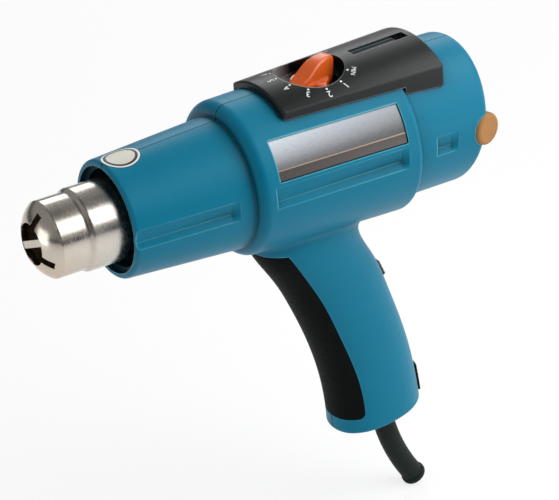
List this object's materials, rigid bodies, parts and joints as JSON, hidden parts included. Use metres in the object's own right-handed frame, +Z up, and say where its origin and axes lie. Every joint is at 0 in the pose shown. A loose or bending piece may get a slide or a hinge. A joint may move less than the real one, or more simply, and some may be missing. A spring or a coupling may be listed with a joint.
{
  "type": "heat gun",
  "caption": "Pistol-grip heat gun with a stepped steel nozzle, a temperature dial on a top panel, a sliding switch behind the grip and rear rest feet.",
  "frame": {"origin": "on the barrel axis at the nozzle's shoulder, the stop for a push-on nozzle", "axes": "+X along the barrel from the nozzle to the rear, +Z up away from the handle, -Y the side with the plate"},
  "size_m": [0.2186, 0.074, 0.2338],
  "materials": {
    "shell": "moulded, fine matt grain",
    "panel": "moulded black, fine matt grain",
    "dial": "translucent orange, polished",
    "plate": "satin metal plate, bare",
    "grip": "soft black, fine texture",
    "foot": "soft orange, matt",
    "steel": "spun and lightly brushed",
    "insulator": "pale ceramic",
    "mica": "mica sheet",
    "wire": "resistance wire",
    "zinc": "plated",
    "iron": "laminated stack",
    "inner_plastic": "moulded, unpainted",
    "board": "bare circuit board",
    "component": "moulded component case",
    "sink": "plain",
    "screw": "blackened"
  },
  "bodies": {
    "gun": {"housing_left": "shell", "housing_right": "shell", "control_panel": "panel", "name_plate": "plate", "grip_pad": "grip", "heel_pad": "grip", "foot_left": "foot", "foot_right": "foot", "rear_grille": "panel", "nozzle_tube": "steel", "mounting_ring": "insulator", "mica_sleeve": "mica", "heater_core": "mica", "heating_coils": "wire", "heater_end_disc": "insulator", "thermal_cutout": "zinc", "air_duct": "inner_plastic", "motor_can": "zinc", "motor_endcap": "inner_plastic", "motor_bracket": "inner_plastic", "circuit_board": "board", "dial_pot": "component", "heat_sink": "sink", "triac": "component", "board_capacitor": "component", "switch_body": "component", "terminal_block": "inner_plastic", "suppressor": "component", "cord_sleeve": "grip", "cord_clamp": "inner_plastic", "housing_screws": "screw", "clamp_screws": "screw"},
    "dial": {"temp_dial": "dial", "pot_shaft": "zinc"},
    "slider": {"thumb_slider": "panel"},
    "rotor": {"motor_shaft": "steel", "armature": "iron", "fan_impeller": "inner_plastic"}
  },
  "joints": [
    {"name": "dial_turn", "type": "hinge", "parent": "gun", "child": "dial", "pos_m": [0.1215, 0, 0.0325], "axis": [0, 0, 1], "range_deg": [-239, 39]},
    {"name": "switch_slide", "type": "slide", "parent": "gun", "child": "slider", "axis": [-0.3907, 0, 0.9205], "range_m": [0, 0.008]},
    {"name": "rotor_spin", "type": "hinge", "parent": "gun", "child": "rotor", "pos_m": [0.112, 0, 0.0012], "axis": [1, 0, 0], "continuous": true}
  ]
}
